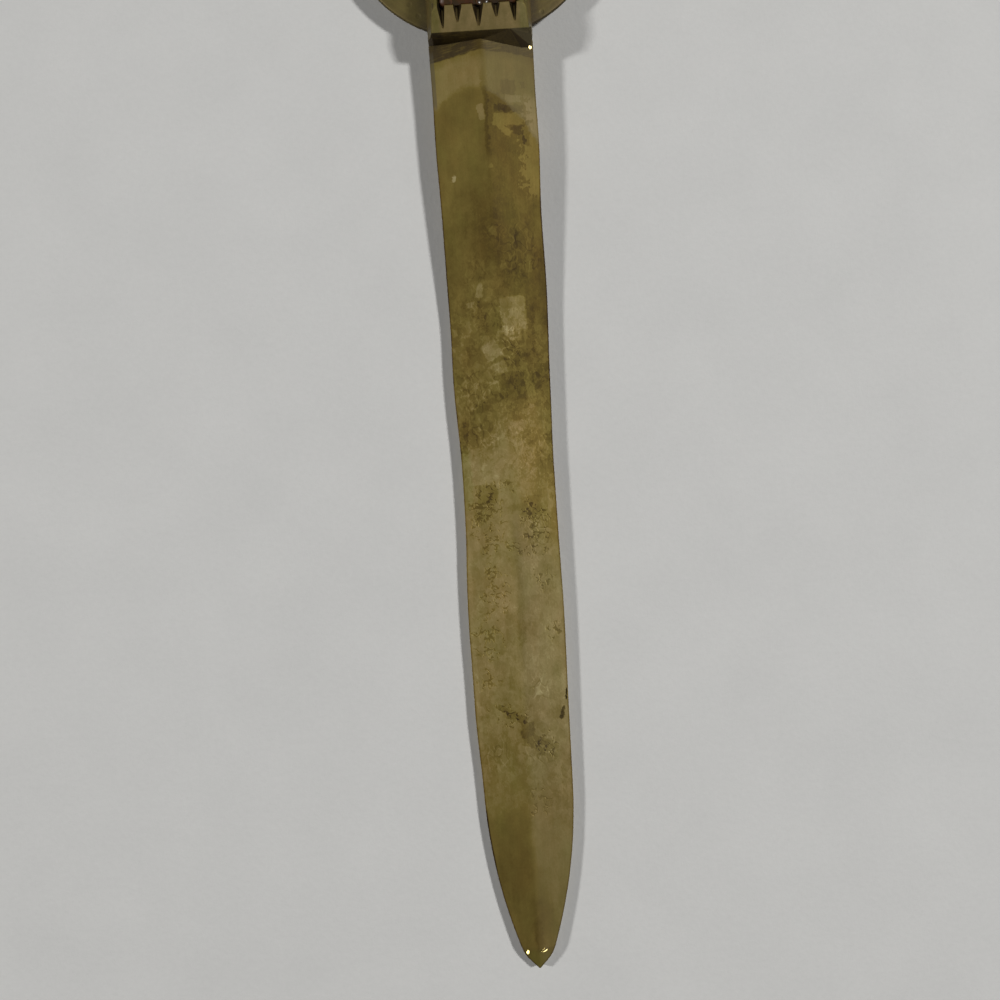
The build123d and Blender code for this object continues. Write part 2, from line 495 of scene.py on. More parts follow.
def crease_long_edges(piece):
    """Creases the outer edges, the two ends and the ridge, which is softer where it is worn."""
    mesh = bmesh.from_edit_mesh(piece.data)
    crease = mesh.edges.layers.float.new("crease_edge")
    for edge in mesh.edges:
        start = edge.verts[0].co
        end = edge.verts[1].co
        middle = (start + end) / 2
        lengthwise = abs(start.y - end.y) > 0.3
        outward = abs(middle.x - middle_x(middle.y)) / half_width(middle.y)
        if not lengthwise and (middle.y > ROOT_Y - 0.01 or middle.y < TIP_Y + 0.01):
            edge[crease] = 1.0
        elif lengthwise and outward > 0.95 and middle.z > UNDER_BEVEL + 0.2:
            edge[crease] = 1.0
        elif lengthwise and outward > 0.85 and middle.z < UNDER_BEVEL + 0.1:
            edge[crease] = 0.5
        elif lengthwise and outward < 0.05 and middle.z > UNDER_BEVEL:
            edge[crease] = 0.85 * (1 - ridge_wear(middle.y))
    bmesh.update_edit_mesh(piece.data)


def grind_point(piece):
    """Grinds one flat on each side of the point, from a crease across the blade down to the tip."""
    edit_mode()
    half = GRIND_WIDTH / 2
    tip = Vector((0, TIP_Y, TIP_THICKNESS))
    to_ridge = Vector((0, TIP_Y + GRIND_CENTRE, TIP_RIDGE)) - tip
    for side in (-1, 1):
        edge_y = TIP_Y + GRIND_LENGTH
        to_edge = Vector((side * half, edge_y, edge_height(edge_y))) - tip
        slice_off(tip, to_edge.cross(to_ridge) * side)


def draw_out_tang(piece):
    """Draws the tang out of the root's end face, as far as it runs in the handle."""
    select_faces(piece, lambda middle, normal: normal.y > 0.9 and middle.y > ROOT_Y - 0.2)
    extrude((0, TANG_STEP, 0))
    tang_height = TANG_TOP - PLATE_THICKNESS
    centre = (0, ROOT_Y, (TANG_TOP + PLATE_THICKNESS) / 2)
    stretch((TANG_WIDTH / ROOT_WIDTH, 1, tang_height / ROOT_RIDGE), centre)
    extrude((0, TANG_END - ROOT_Y - 2 * TANG_STEP, 0))


def mark_edge_distance(piece):
    """Notes on every point how far it lies inside the blade's outline, for the wear along its edges."""
    marks = piece.data.attributes.new("from_edge", "FLOAT", "POINT")
    for point in piece.data.vertices:
        y = max(TIP_Y, min(ROOT_Y, point.co.y))
        marks.data[point.index].value = half_width(y) - abs(point.co.x - middle_x(y))


# Disc


def dome_height(share):
    """Height of the disc's face at a share of its radius."""
    return RIM_HIGH + (CROWN_HEIGHT - RIM_HIGH) * (1 - share**DOME_CURVE)


def turn_dome(piece):
    """Raises the top face of a cylinder ring by ring into the disc's low dome."""
    select_faces(piece, lambda middle, normal: normal.z > 0.9)
    before = 1.0
    for i in range(1, DOME_RINGS):
        share = 1 - i / DOME_RINGS
        rise = dome_height(share) - dome_height(before)
        extrude((0, 0, rise))
        stretch((share / before, share / before, 1))
        before = share


def make_disc(material):
    """A turned disc: low dome, thin rim, sloping back and a recess for the back plate."""
    piece = start_cylinder("handle_disc_casting", DISC_RADIUS, RIM_LOW, RIM_HIGH)
    turn_dome(piece)
    select_faces(piece, lambda middle, normal: normal.z < -0.9)
    extrude((0, 0, -RIM_LOW))
    back_share = BACK_RADIUS / DISC_RADIUS
    stretch((back_share, back_share, 1))
    recess = PLATE_RADIUS + POCKET_GAP
    bpy.ops.mesh.inset(thickness=BACK_RADIUS - recess)
    extrude((0, 0, PLATE_THICKNESS))
    object_mode()
    soften_edges(piece, 0.22, segments=3, angle=20)
    finish_piece(piece, "handle_disc", material)


# Setting

# File cuts of one end: place across, depth, half width at the top and lean of the cut's foot
TOOTH_CUTS = (
    (-5.9, 1.2, 0.53, 0.22),
    (-3.2, 0.9, 0.6, -0.2),
    (-0.15, 1.18, 0.78, 0.0),
    (2.58, 0.72, 0.6, 0.05),
    (5.18, 1.0, 0.53, 0.28),
)
CUT_FOOT_SHARE = 0.22
# The cuts run on above the setting, so that they open its top edge, and past the teeth both ways
CUT_OVERSHOOT = 1.6
CUT_RUN_OUT = 1.0
CUT_RUN_IN = 1.6


def make_tooth_cutter(end):
    """All the V cuts of one end wall as one cutter."""
    cutters = []
    for place, depth, half_top, lean in TOOTH_CUTS:
        x = -end * place
        foot = SETTING_HEIGHT - depth
        outer = end * (SETTING_END + CUT_RUN_OUT)
        inner = end * (TOOTH_TOP_Y - CUT_RUN_IN)
        cutter = start_box(
            "file_cut",
            (x - half_top, min(inner, outer), foot),
            (x + half_top, max(inner, outer), SETTING_HEIGHT),
        )
        select_points(cutter, lambda p: p.z < foot + 0.01)
        stretch((CUT_FOOT_SHARE, 1, 1), (x, 0, 0))
        shift((-end * lean, 0, 0))
        select_points(cutter, lambda p: p.z > foot + 0.01)
        shift((0, 0, depth * (CUT_OVERSHOOT - 1)))
        stretch((CUT_OVERSHOOT, 1, 1), (x, 0, 0))
        object_mode()
        cutters.append(cutter)
    bpy.ops.object.select_all(action="DESELECT")
    for cutter in cutters:
        cutter.select_set(True)
    bpy.context.view_layer.objects.active = cutters[0]
    bpy.ops.object.join()
    return cutters[0]


# Solder that has run out at the right front corner: its block, a point of its upper edge, its two faces
SOLDER_LOW = Vector((-3.6, -SETTING_END - 1.7, 3.6))
SOLDER_HIGH = Vector((ROOT_WIDTH / 2 - 0.3, -SETTING_END + 0.7, BAND_FOOT))
SOLDER_TOP = (4.6, -21.5, 7.0)
SOLDER_FACES = (Vector((-0.084, -0.882, 0.464)), Vector((0.142, -0.813, 0.564)))


def make_solder_wedge():
    """The solder between the end wall and the blade's right half, as a block cut by its two faces."""
    piece = start_box("solder", SOLDER_LOW, SOLDER_HIGH)
    for facing in SOLDER_FACES:
        slice_off(SOLDER_TOP, facing)
    object_mode()
    return piece


def make_setting(material):
    """A strap with sloping toothed ends and a pocket, fitted over the disc."""
    half = ROOT_WIDTH / 2
    piece = start_box("setting_strap", (-half, -SETTING_END, 0), (half, SETTING_END, SETTING_HEIGHT))
    band_rise = SETTING_HEIGHT - BAND_FOOT
    band_run = SETTING_END - WALL_LEAN - TOOTH_TOP_Y
    for end in (-1, 1):
        wall_facing = Vector((0, end * (BAND_FOOT - ROOT_RIDGE), WALL_LEAN))
        band_facing = Vector((0, end * band_rise, band_run))
        slice_off((0, end * SETTING_END, ROOT_RIDGE), wall_facing)
        slice_off((0, end * TOOTH_TOP_Y, SETTING_HEIGHT), band_facing)
        for side in (-1, 1):
            corner = (side * (half - CORNER_CHAMFER), end * SETTING_END, 0)
            slice_off(corner, Vector((side, end, 0)))
    for side in (-1, 1):
        leaning = Vector((side * (SETTING_HEIGHT - SIDE_LEAN_FOOT), 0, SIDE_LEAN))
        slice_off((side * half, 0, SIDE_LEAN_FOOT), leaning)
    top_half = half - SIDE_LEAN
    at_top = SETTING_HEIGHT - 0.01
    at_side = 2 * top_half - 0.01
    select_edges(piece, lambda a, b: min(a.z, b.z) > at_top and abs(a.x + b.x) > at_side)
    bpy.ops.mesh.bevel(offset=RAIL_CHAMFER, segments=3, affect="EDGES")
    select_faces(piece, lambda middle, normal: normal.z > 0.99)
    wall = TOOTH_TOP_Y - POCKET_HALF_LENGTH
    bpy.ops.mesh.inset(thickness=wall)
    pocket_share = POCKET_HALF_WIDTH / (top_half - RAIL_CHAMFER - wall)
    stretch((pocket_share, 1, 1))
    extrude((0, 0, FLOOR_TOP - SETTING_HEIGHT))
    object_mode()
    soften_edges(piece, 0.1, segments=3, angle=25)
    for end in (-1, 1):
        combine(piece, make_tooth_cutter(end), "DIFFERENCE")
    combine(piece, make_solder_wedge(), "UNION")
    blank = start_cylinder("disc_blank", DISC_RADIUS + POCKET_GAP, -1, RIM_HIGH)
    turn_dome(blank)
    object_mode()
    combine(piece, blank, "DIFFERENCE")
    finish_piece(piece, "stone_setting", material)


# Stone

STONE_GIRDLE = 1.1
STONE_RINGS = 12
STONE_CORNER = 0.8
STONE_CROWN_SHARE = 0.97
CHIP = ((0.65, -17.8, 9.0), (1.35, 1.35, 1.35))


def make_stone(material):
    """A polished cushion: a low girdle with a crown drawn in ring by ring, and a chip in its edge."""
    girdle = stone_low.z + STONE_GIRDLE
    piece = start_box("polished_stone", stone_low, (stone_high.x, stone_high.y, girdle))
    select_edges(piece, lambda a, b: abs(a.z - b.z) > 0.5)
    bpy.ops.mesh.bevel(offset=STONE_CORNER, segments=6, affect="EDGES")
    crown = stone_high.z - girdle
    reach = stone_high.x * STONE_CROWN_SHARE
    select_faces(piece, lambda middle, normal: normal.z > 0.9)
    width_before = stone_high.x
    length_before = stone_high.y
    rise_before = 0.0
    for i in range(1, STONE_RINGS + 1):
        turn = radians(90) * i / STONE_RINGS
        width = stone_high.x - reach * (1 - cos(turn))
        length = stone_high.y - reach * (1 - cos(turn))
        rise = crown * sin(turn)
        extrude((0, 0, rise - rise_before))
        stretch((width / width_before, length / length_before, 1))
        width_before = width
        length_before = length
        rise_before = rise
    object_mode()
    soften_edges(piece, 0.12, segments=2, angle=50)
    combine(piece, start_bead("chip", *CHIP), "DIFFERENCE")
    finish_piece(piece, "stone", material)


# Plain pieces: softened copies of the CAD solids


def make_softened(node, name, material, width):
    """A copy of a CAD node with its flat faces joined up and its edges rounded."""
    piece = bpy.data.objects.new(name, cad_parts[node].data.copy())
    bpy.context.scene.collection.objects.link(piece)
    rescale(piece, 1 / MM)
    edit_mode()
    bpy.ops.mesh.select_all(action="SELECT")
    bpy.ops.mesh.remove_doubles(threshold=0.001)
    bpy.ops.mesh.dissolve_limited(angle_limit=radians(1))
    object_mode()
    soften_edges(piece, width)
    finish_piece(piece, node, material)


# Finishes


def display_colour(red, green, blue, gain=1.0):
    """A colour given as screen values from 0 to 255, as linear light with a gain."""
    linear = []
    for level in (red, green, blue):
        share = level / 255
        if share <= 0.04045:
            linear.append(gain * share / 12.92)
        else:
            linear.append(gain * ((share + 0.055) / 1.055) ** 2.4)
    return (*linear, 1.0)


class Value:
    """A number worked out by shader nodes, which can stand in sums and products."""

    def __init__(self, finish, socket):
        self.finish = finish
        self.socket = socket

    def __add__(self, other):
        return self.finish.math("ADD", self, other)

    def __sub__(self, other):
        return self.finish.math("SUBTRACT", self, other)

    def __rsub__(self, other):
        return self.finish.math("SUBTRACT", other, self)

    def __mul__(self, other):
        return self.finish.math("MULTIPLY", self, other)

    def __abs__(self):
        return self.finish.math("ABSOLUTE", self)

    __radd__ = __add__
    __rmul__ = __mul__


class Finish:
    """A material being built: most methods add nodes and give back their result."""

    def __init__(self, name, metallic=0.0):
        self.material = bpy.data.materials.new(name)
        self.material.use_nodes = True
        self.nodes = self.material.node_tree.nodes
        self.links = self.material.node_tree.links
        self.shader = self.nodes["Principled BSDF"]
        self.shader.inputs["Metallic"].default_value = metallic
        metres = self.nodes.new("ShaderNodeTexCoord").outputs["Object"]
        self.place = self.vector("SCALE", metres, factor=1 / MM)
        self.x, self.y, self.z = self.split(self.place)

    def put(self, value, socket):
        """Links a result to an input, or sets the input to a plain value."""
        if isinstance(value, Value):
            value = value.socket
        if isinstance(value, bpy.types.NodeSocket):
            self.links.new(value, socket)
        else:
            socket.default_value = value

    def new_node(self, kind, inputs, **settings):
        """A node with these settings, and with its inputs, by name or number, linked or set."""
        node = self.nodes.new("ShaderNode" + kind)
        for setting, value in settings.items():
            setattr(node, setting, value)
        for key, value in inputs.items():
            self.put(value, node.inputs[key])
        return node

    def math(self, operation, first, second=0.0):
        node = self.new_node("Math", {0: first, 1: second}, operation=operation)
        return Value(self, node.outputs[0])

    def most(self, *values):
        found = values[0]
        for value in values[1:]:
            found = self.math("MAXIMUM", found, value)
        return found

    def vector(self, operation, first, second=(0.0, 0.0, 0.0), factor=1.0):
        node = self.new_node("VectorMath", {0: first, 1: second, 3: factor}, operation=operation)
        if operation in ("LENGTH", "DOT_PRODUCT"):
            return Value(self, node.outputs[1])
        return node.outputs[0]

    def split(self, vector):
        """A vector's X, Y and Z."""
        return [Value(self, output) for output in self.new_node("SeparateXYZ", {0: vector}).outputs]

    def between(self, value, low, high):
        """A soft step from 0 at low to 1 at high, where low may also be above high."""
        inputs = {"Value": value, "From Min": low, "From Max": high}
        node = self.new_node("MapRange", inputs, interpolation_type="SMOOTHSTEP")
        return Value(self, node.outputs["Result"])

    def within(self, value, start, end, soft):
        """1 from start to end and 0 outside, with soft ends."""
        after_start = self.between(value, start - soft, start + soft)
        return after_start * self.between(value, end + soft, end - soft)

    def turned(self, size, turn=0.0, shift=(0.0, 0.0, 0.0), place=None):
        """Coordinates in units of size, one for all axes or three, moved and turned about Z."""
        inputs = {
            "Vector": place or self.place,
            "Location": shift,
            "Rotation": (0.0, 0.0, radians(turn)),
            "Scale": (size, size, size) if isinstance(size, float) else size,
        }
        return self.new_node("Mapping", inputs, vector_type="TEXTURE").outputs["Vector"]

    def noise_node(self, size, detail, rough, turn, shift, place):
        coordinates = self.turned(size, turn, shift, place)
        inputs = {"Vector": coordinates, "Scale": 1.0, "Detail": detail, "Roughness": rough}
        return self.new_node("TexNoise", inputs)

    def noise(self, size, detail=2.0, rough=0.5, turn=0.0, shift=(0.0, 0.0, 0.0), place=None):
        """Cloudy noise around 0, with features of this size in millimetres: one number or X, Y and Z."""
        node = self.noise_node(size, detail, rough, turn, shift, place)
        return Value(self, node.outputs[0]) - 0.5

    def ragged(self, reach, size, place=None):
        """The place shifted about by noise, which makes the outlines drawn with it ragged."""
        node = self.noise_node(size, 3.0, 0.6, 0.0, (7.0, 3.0, 1.0), place)
        offset = self.vector("SUBTRACT", node.outputs[1], (0.5, 0.5, 0.5))
        return self.vector("ADD", place or self.place, self.vector("SCALE", offset, factor=reach))

    def cells(self, place, scale):
        """Straight-sided cells: the distance from each cell's middle, and each cell's own level."""
        node = self.new_node("TexVoronoi", {"Vector": place, "Scale": scale})
        levels = self.new_node("SeparateColor", {0: node.outputs["Color"]})
        return node.outputs["Distance"], Value(self, levels.outputs[0])

    def steps(self, size, place):
        """A level around 0 that steps from one cell of this size to the next."""
        _, level = self.cells(place, 1 / size)
        return level - 0.5

    def pits(self, pitch, radius, density):
        """Round specks scattered in cells of this pitch, in that share of the cells."""
        distance, level = self.cells(self.turned(pitch), 1.0)
        chosen = self.math("LESS_THAN", level, density)
        return chosen * self.between(distance, radius / pitch, 0.4 * radius / pitch)

    def patches(self, shapes, place, soft=0.3, square=False):
        """A mask of ellipses or rectangles from above: place, half sizes, turn and strength of each."""
        found = 0.0
        for x, y, half_x, half_y, turn, strength in shapes:
            lean = radians(turn)
            offset = self.vector("SUBTRACT", place, (x, y, 0.0))
            across = self.vector("DOT_PRODUCT", offset, (cos(lean) / half_x, sin(lean) / half_x, 0.0))
            along = self.vector("DOT_PRODUCT", offset, (-sin(lean) / half_y, cos(lean) / half_y, 0.0))
            if square:
                outward = self.most(abs(across), abs(along))
            else:
                outward = self.math("SQRT", across * across + along * along)
            found = self.most(found, self.between(outward, 1 + soft, 1 - soft) * strength)
        return found

    def specks(self, size, amount, shift=(0.0, 0.0, 0.0)):
        """Ragged specks of about this size, few where the amount is 0 and crowded where it is 1."""
        value = self.noise(size, 2.0, 0.55, 0.0, shift)
        limit = amount * -0.24 + 0.26
        return self.between(value - limit, 0.0, 0.05)

    def curls(self, size, width, shift=(0.0, 0.0, 0.0)):
        """Thin curling lines, where a noise of this size crosses its middle."""
        value = self.noise((size, 1.4 * size, size), 1.0, 0.5, 0.0, shift)
        return self.between(abs(value), width, 0.3 * width)

    def stops(self, value, colours):
        """A colour ramp: each stop is a place from 0 to 1 and a colour or a grey level."""
        node = self.new_node("ValToRGB", {0: value})
        points = node.color_ramp.elements
        while len(points) < len(colours):
            points.new(1.0)
        for point, (place, colour) in zip(points, colours):
            point.position = place
            point.color = colour if isinstance(colour, tuple) else (colour, colour, colour, 1.0)
        return node.outputs["Color"]

    def level(self, value, levels, low=0.0, high=1.0):
        """A number that follows hand-set levels along a value; the levels may run from low to high."""
        span = high - low
        share = self.stops(value, [(place, (level - low) / span) for place, level in levels])
        return Value(self, share) * span + low

    def mix(self, share, first, second, kind="MIX"):
        inputs = {0: share, 6: first, 7: second}
        return self.new_node("Mix", inputs, data_type="RGBA", blend_type=kind).outputs[2]

    def attribute(self, name):
        return Value(self, self.new_node("Attribute", {}, attribute_name=name).outputs["Fac"])

    def normal(self):
        """The surface's normal, split into X, Y and Z."""
        return self.split(self.nodes.new("ShaderNodeNewGeometry").outputs["True Normal"])

    def done(self, colour, roughness, height):
        """Links colour, roughness and bump height in millimetres to the shader."""
        bump = self.new_node("Bump", {"Distance": MM, "Height": height})
        self.put(colour, self.shader.inputs["Base Color"])
        self.put(roughness, self.shader.inputs["Roughness"])
        self.put(bump.outputs["Normal"], self.shader.inputs["Normal"])
        return self.material


BRASS_METAL = 0.8
BRASS_GAIN = 1.3
# Screen colours of aged brass, from near black to pale rubbed metal
BRASS_TONES = (
    (0.0, (46, 34, 14)),
    (0.25, (82, 68, 27)),
    (0.5, (104, 90, 42)),
    (0.75, (126, 111, 70)),
    (1.0, (158, 146, 104)),
)
# Factors that turn the colour greener or redder
BRASS_DRIFT = (
    (0.0, (0.86, 1.06, 0.84, 1.0)),
    (0.5, (1.0, 1.0, 1.0, 1.0)),
    (1.0, (1.14, 0.95, 0.95, 1.0)),
)
DULL_BRASS = (76, 70, 56)


def brass_colour(finish, tone, warmth, dull=0.0):
    """Aged brass, darkest at tone -1 and palest at 1, warmer or duller by its other values."""
    tones = [(stop, display_colour(*colour, BRASS_GAIN)) for stop, colour in BRASS_TONES]
    colour = finish.stops((tone + 1.0) * 0.5, tones)
    colour = finish.mix(1.0, colour, finish.stops(warmth + 0.5, BRASS_DRIFT), "MULTIPLY")
    return finish.mix(dull, colour, display_colour(*DULL_BRASS, BRASS_GAIN))


# Marks on the blade's upper face: X, Y, half sizes, turn and strength
RUBBED = (
    (3.6, -34.5, 2.3, 0.9, 0, 0.6),
    (2.5, -35.9, 1.7, 0.5, -38, 0.7),
    (4.5, -31.3, 1.2, 0.6, 0, 0.45),
    (-0.65, -33.3, 0.55, 1.2, 8, 0.8),
    (4.7, -57.9, 1.0, 0.7, 0, 0.4),
    (2.4, -64.9, 2.0, 2.7, 3, 1.0),
    (1.5, -68.2, 1.9, 0.9, 0, 0.55),
    (-1.35, -70.6, 1.3, 1.4, 30, 0.7),
    (-0.35, -73.4, 1.2, 0.9, 20, 0.6),
    (-3.8, -89.8, 2.5, 1.7, 0, 0.2),
    (2.0, -83.6, 1.3, 1.9, 12, 0.35),
    (4.4, -81.2, 0.9, 1.7, -20, 0.4),
)
RUBBED_SPECKS = (
    (-5.65, -43.3, 0.42, 0.6, 0, 1.5),
    (0.2, -42.0, 0.4, 0.4, 0, 0.6),
    (0.1, -52.2, 0.5, 0.75, 30, 0.6),
    (5.5, -56.6, 0.5, 0.8, 0, 0.5),
    (1.4, -57.4, 0.45, 0.8, 0, 0.5),
    (-2.5, -61.0, 0.5, 1.2, -8, 0.9),
    (-4.1, -63.1, 0.9, 0.5, 25, 0.8),
)
STAINED = (
    (3.8, -29.5, 1.1, 1.2, 0, 0.5),
    (6.0, -29.1, 0.4, 0.6, 0, 0.4),
    (3.8, -32.8, 2.3, 0.6, 0, 0.5),
    (5.4, -36.3, 1.6, 0.6, 0, 0.45),
    (6.2, -37.8, 0.55, 1.1, 0, 0.6),
    (-1.65, -65.5, 1.5, 2.6, 0, 0.65),
    (4.9, -67.0, 0.7, 3.0, 0, 0.4),
    (1.5, -76.3, 2.1, 2.2, 0, 0.65),
    (-6.4, -84.0, 0.6, 2.7, -4, 0.8),
    (-3.4, -92.9, 1.5, 1.5, 0, 0.6),
    (3.2, -95.0, 1.6, 1.5, 0, 0.5),
    (0.5, -129.2, 1.0, 1.2, 0, 1.1),
    (1.7, -131.2, 1.9, 1.1, -30, 0.8),
    (-1.0, -127.2, 1.7, 0.5, -22, 1.0),
    (-2.8, -125.9, 1.1, 0.4, -30, 0.8),
)
# Broad soft changes of tone, lighter and darker
BROAD_LIGHT = (
    (3.2, -84.9, 4.2, 6.0, 0, 0.5),
    (2.4, -107.0, 1.8, 5.0, 0, 0.35),
    (3.6, -120.0, 1.6, 7.0, -6, 0.4),
)
BROAD_DARK = (
    (-1.4, -50.0, 2.4, 6.6, 0, 0.7),
    (5.4, -71.0, 1.7, 3.6, 0, 0.3),
    (-4.4, -78.0, 2.4, 8.0, 0, 0.4),
    (-3.6, -95.6, 2.2, 3.2, 0, 0.4),
    (0.6, -112.0, 0.6, 7.0, -2, 0.6),
    (-3.0, -148.0, 2.6, 7.0, -4, 0.5),
    (0.3, -159.5, 0.7, 3.0, 0, 1.0),
    (1.3, -156.6, 1.5, 3.2, 12, 0.6),
)
PITTED = (
    (-3.9, -96.5, 2.7, 5.2, 0, 1.0),
    (3.3, -98.5, 2.6, 5.2, 0, 0.75),
    (-2.0, -92.0, 3.0, 1.5, 0, 0.6),
    (0.2, -101.5, 2.0, 1.6, 0, 0.6),
    (-3.4, -107.7, 2.4, 4.4, 0, 0.8),
    (4.0, -106.3, 2.2, 2.6, 0, 0.6),
    (-4.8, -115.0, 2.6, 3.2, 0, 0.9),
    (-4.8, -121.2, 2.2, 2.8, 0, 0.6),
    (5.6, -114.0, 1.2, 2.0, 0, 0.7),
    (-2.0, -126.8, 3.6, 1.8, -12, 0.85),
    (3.2, -131.2, 2.3, 2.0, 0, 0.85),
    (1.5, -140.0, 3.0, 4.0, 0, 0.4),
)
# Places with fine criss-cross marks
SCUFFED = (
    (1.6, -69.8, 1.8, 3.4, 0, 1.0),
    (-4.5, -76.8, 2.0, 3.8, 0, 0.9),
    (-3.3, -83.8, 2.6, 2.4, 0, 0.9),
    (-1.4, -76.0, 1.2, 2.0, 0, 0.8),
    (3.3, -86.5, 3.0, 5.0, 0, 0.5),
    (-3.0, -64.0, 2.6, 2.2, 0, 0.6),
    (3.9, -99.0, 2.2, 3.6, 0, 0.7),
    (-4.4, -110.0, 2.0, 3.0, 0, 0.4),
    (-4.4, -132.5, 2.2, 2.8, 0, 0.7),
    (2.3, -132.0, 2.8, 2.2, 0, 0.8),
    (4.0, -55.5, 3.0, 4.5, 0, 0.5),
    (0.5, -52.5, 2.0, 2.4, 0, 0.35),
    (-3.0, -58.5, 2.6, 3.0, 0, 0.5),
    (2.7, -123.3, 1.6, 2.2, 0, 0.8),
)
WARMER_AREAS = ((3.0, -84.5, 3.0, 6.0, 0, 1.0), (3.5, -92.0, 2.5, 3.0, 0, 0.7))
GREENER_AREAS = ((-6.8, -90.5, 1.2, 5.0, 0, 1.0), (0.0, -163.2, 3.0, 1.6, 0, 1.0))


def marks_over(places, growth):
    """A patch over each nick or raised mark, larger than it by the growth."""
    patches = []
    for (x, y, _), (half_x, half_y, _), turn in places:
        patches.append((x, y, growth * half_x, growth * half_y, turn, 1.0))
    return patches


# How the finish changes along the blade: share of its length and level
TONE_ALONG = (
    (0.0, 0.25), (0.049, 0.25), (0.053, -0.16), (0.15, -0.14), (0.2, -0.28),
    (0.26, -0.26), (0.3, -0.08), (0.42, -0.02), (0.455, 0.28), (0.66, 0.34),
    (0.74, 0.18), (0.84, 0.0), (0.93, -0.22), (1.0, -0.22),
)
FLAKES_ALONG = (
    (0.0, 0.02), (0.24, 0.08), (0.3, 0.26), (0.44, 0.26),
    (0.5, 0.12), (0.78, 0.16), (0.86, 0.04), (1.0, 0.02),
)
SCRATCHES_ALONG = (
    (0.0, 0.0), (0.25, 0.08), (0.31, 0.25), (0.42, 0.25),
    (0.48, 0.2), (0.7, 0.2), (0.78, 0.25), (0.84, 0.05),
)
# Painted shade on the right half, which meets the stronger lamp, darkest towards the root; near the tip
# it turns to painted light
RIGHT_SHADE_ALONG = (
    (0.0, -0.36), (0.046, -0.18), (0.056, -0.42), (0.1, -0.38), (0.24, -0.32),
    (0.27, -0.15), (0.33, -0.32), (0.42, -0.22), (0.5, -0.2), (0.56, -0.06),
    (0.74, 0.08), (0.87, 0.22), (1.0, 0.28),
)
# Spans along Y of the marks at the blade's edges and ridge
STRIP_SPAN = (-47.0, -31.0)
WIDE_STRIP_SPAN = (-45.5, -36.0)
PALE_EDGE_SPAN = (-138.0, -100.0)
LEFT_BEVEL_SPAN = (-32.0, -23.0)
EDGE_SIDE_SHADE_SPAN = (-149.0, -141.0)
RIDGE_SHADE_SPAN = (-40.0, -27.0)
# Lower end of the dirt and painted shade below the collar, and how it slants down to both sides
GRIME_AND_SHADE_END = -23.5
GRIME_AND_SHADE_SLANT = 0.157


